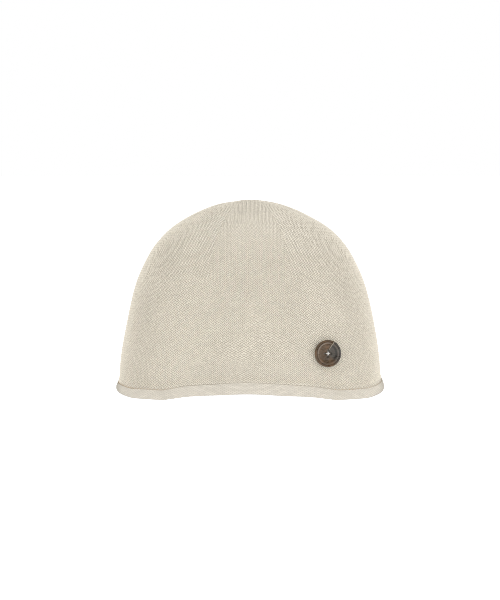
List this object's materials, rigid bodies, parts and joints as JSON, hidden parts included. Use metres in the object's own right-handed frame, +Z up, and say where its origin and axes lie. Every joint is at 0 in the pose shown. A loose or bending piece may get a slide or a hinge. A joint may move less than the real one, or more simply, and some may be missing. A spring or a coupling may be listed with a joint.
{
  "type": "roll-up beanie",
  "caption": "Knitted domed beanie in off-white, its rim curled outwards into a narrow roll, with a round horn button sewn on low at one side of the front; hollow and open underneath.",
  "frame": {"origin": "on the surface that the hat stands on, below the middle of its crown", "axes": "+X to the right of the front as seen from the front, -Y towards the front where the button is, +Z up"},
  "size_m": [0.2106, 0.1516, 0.1526],
  "materials": {
    "knit": "fine plain-knit yarn, off-white and matt, with small fibres standing out",
    "horn": "polished horn, brown on one side and dark grey on the other, with a pale vein between",
    "thread": "off-white sewing thread"
  },
  "bodies": {
    "root": {"crown": "knit", "rolled_brim": "knit", "button": "horn", "button_thread": "thread"}
  },
  "joints": []
}
